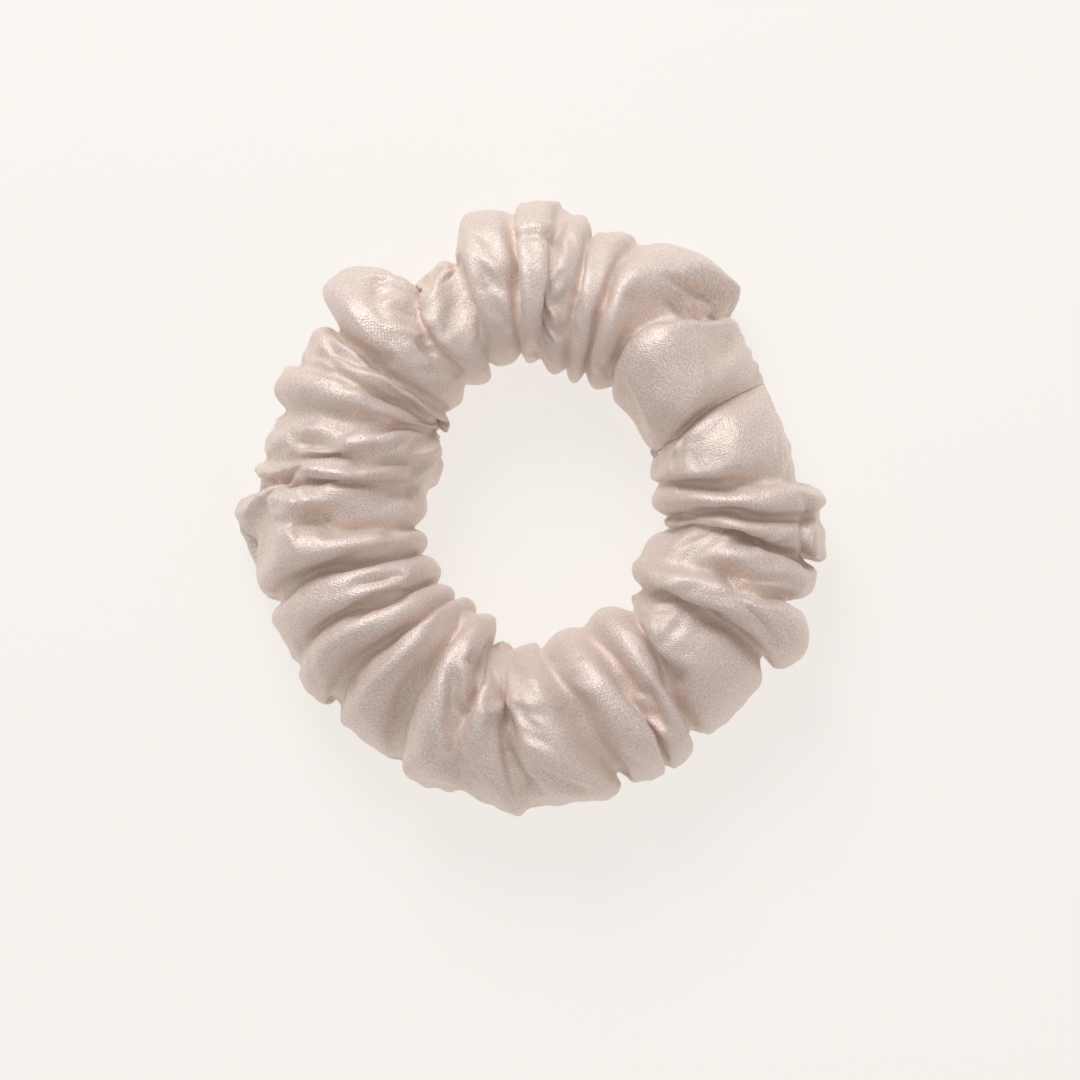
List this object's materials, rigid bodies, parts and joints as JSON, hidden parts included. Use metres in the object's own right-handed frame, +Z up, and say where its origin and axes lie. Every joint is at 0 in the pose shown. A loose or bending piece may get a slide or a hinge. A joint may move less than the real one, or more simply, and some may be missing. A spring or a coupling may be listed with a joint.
{
  "type": "scrunchie",
  "caption": "Satin hair scrunchie: a gathered fabric tube over a loop of flat elastic, lying flat, with an oval opening for the hair.",
  "frame": {"origin": "centre of the ring, on the surface that the scrunchie lies on", "axes": "+Z up out of that surface, along the direction in which hair goes through the opening; +Y along the oval opening's long axis; the opening's centre is 2.4 mm towards +X"},
  "size_m": [0.0926, 0.0925, 0.0224],
  "materials": {
    "satin": "satin weave, soft silky sheen, ivory pearl",
    "elastic": "matte braid over rubber cores",
    "thread": "twisted polyester sewing thread"
  },
  "bodies": {
    "root": {"satin_cover": "satin", "long_seam_thread": "thread", "closing_seam_thread": "thread", "elastic_band": "elastic", "elastic_lap_thread": "thread"}
  },
  "joints": []
}
